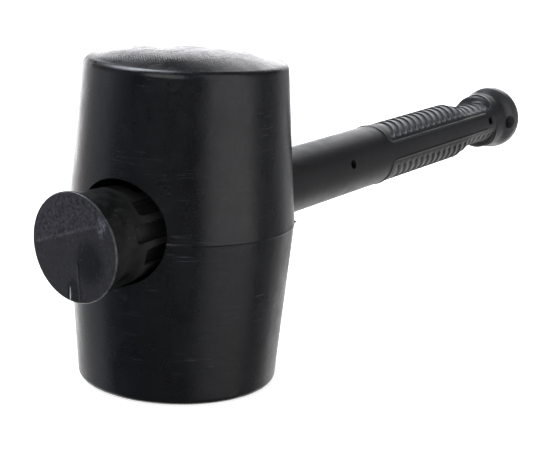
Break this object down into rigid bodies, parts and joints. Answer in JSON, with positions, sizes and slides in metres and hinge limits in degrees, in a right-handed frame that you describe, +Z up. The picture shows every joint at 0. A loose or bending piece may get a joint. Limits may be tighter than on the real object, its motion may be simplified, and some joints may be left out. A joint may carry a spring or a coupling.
{
  "type": "rubber mallet",
  "caption": "Rubber mallet with a barrel-shaped black rubber head on a flared, moulded handle with ribbed grip panels, a finger recess and a hanging hole.",
  "frame": {"origin": "middle of the head's lower striking face, which the mallet stands on", "axes": "+Z up the head's own axis to the upper striking face, +X along the handle to its grip end, +Y completes the right-handed frame"},
  "size_m": [0.3245, 0.09, 0.13],
  "materials": {
    "head_rubber": "satin black rubber with faint bloom and scuffs",
    "jacket_plastic": "fine-textured satin black moulded plastic",
    "grip_rubber": "satin black soft grip rubber, ribbed",
    "glass_fibre": "pultruded glass fibre rod"
  },
  "bodies": {
    "root": {"rubber_head": "head_rubber", "handle_jacket": "jacket_plastic", "grip_panel_upper": "grip_rubber", "grip_panel_lower": "grip_rubber", "core_rod": "glass_fibre"}
  },
  "joints": []
}
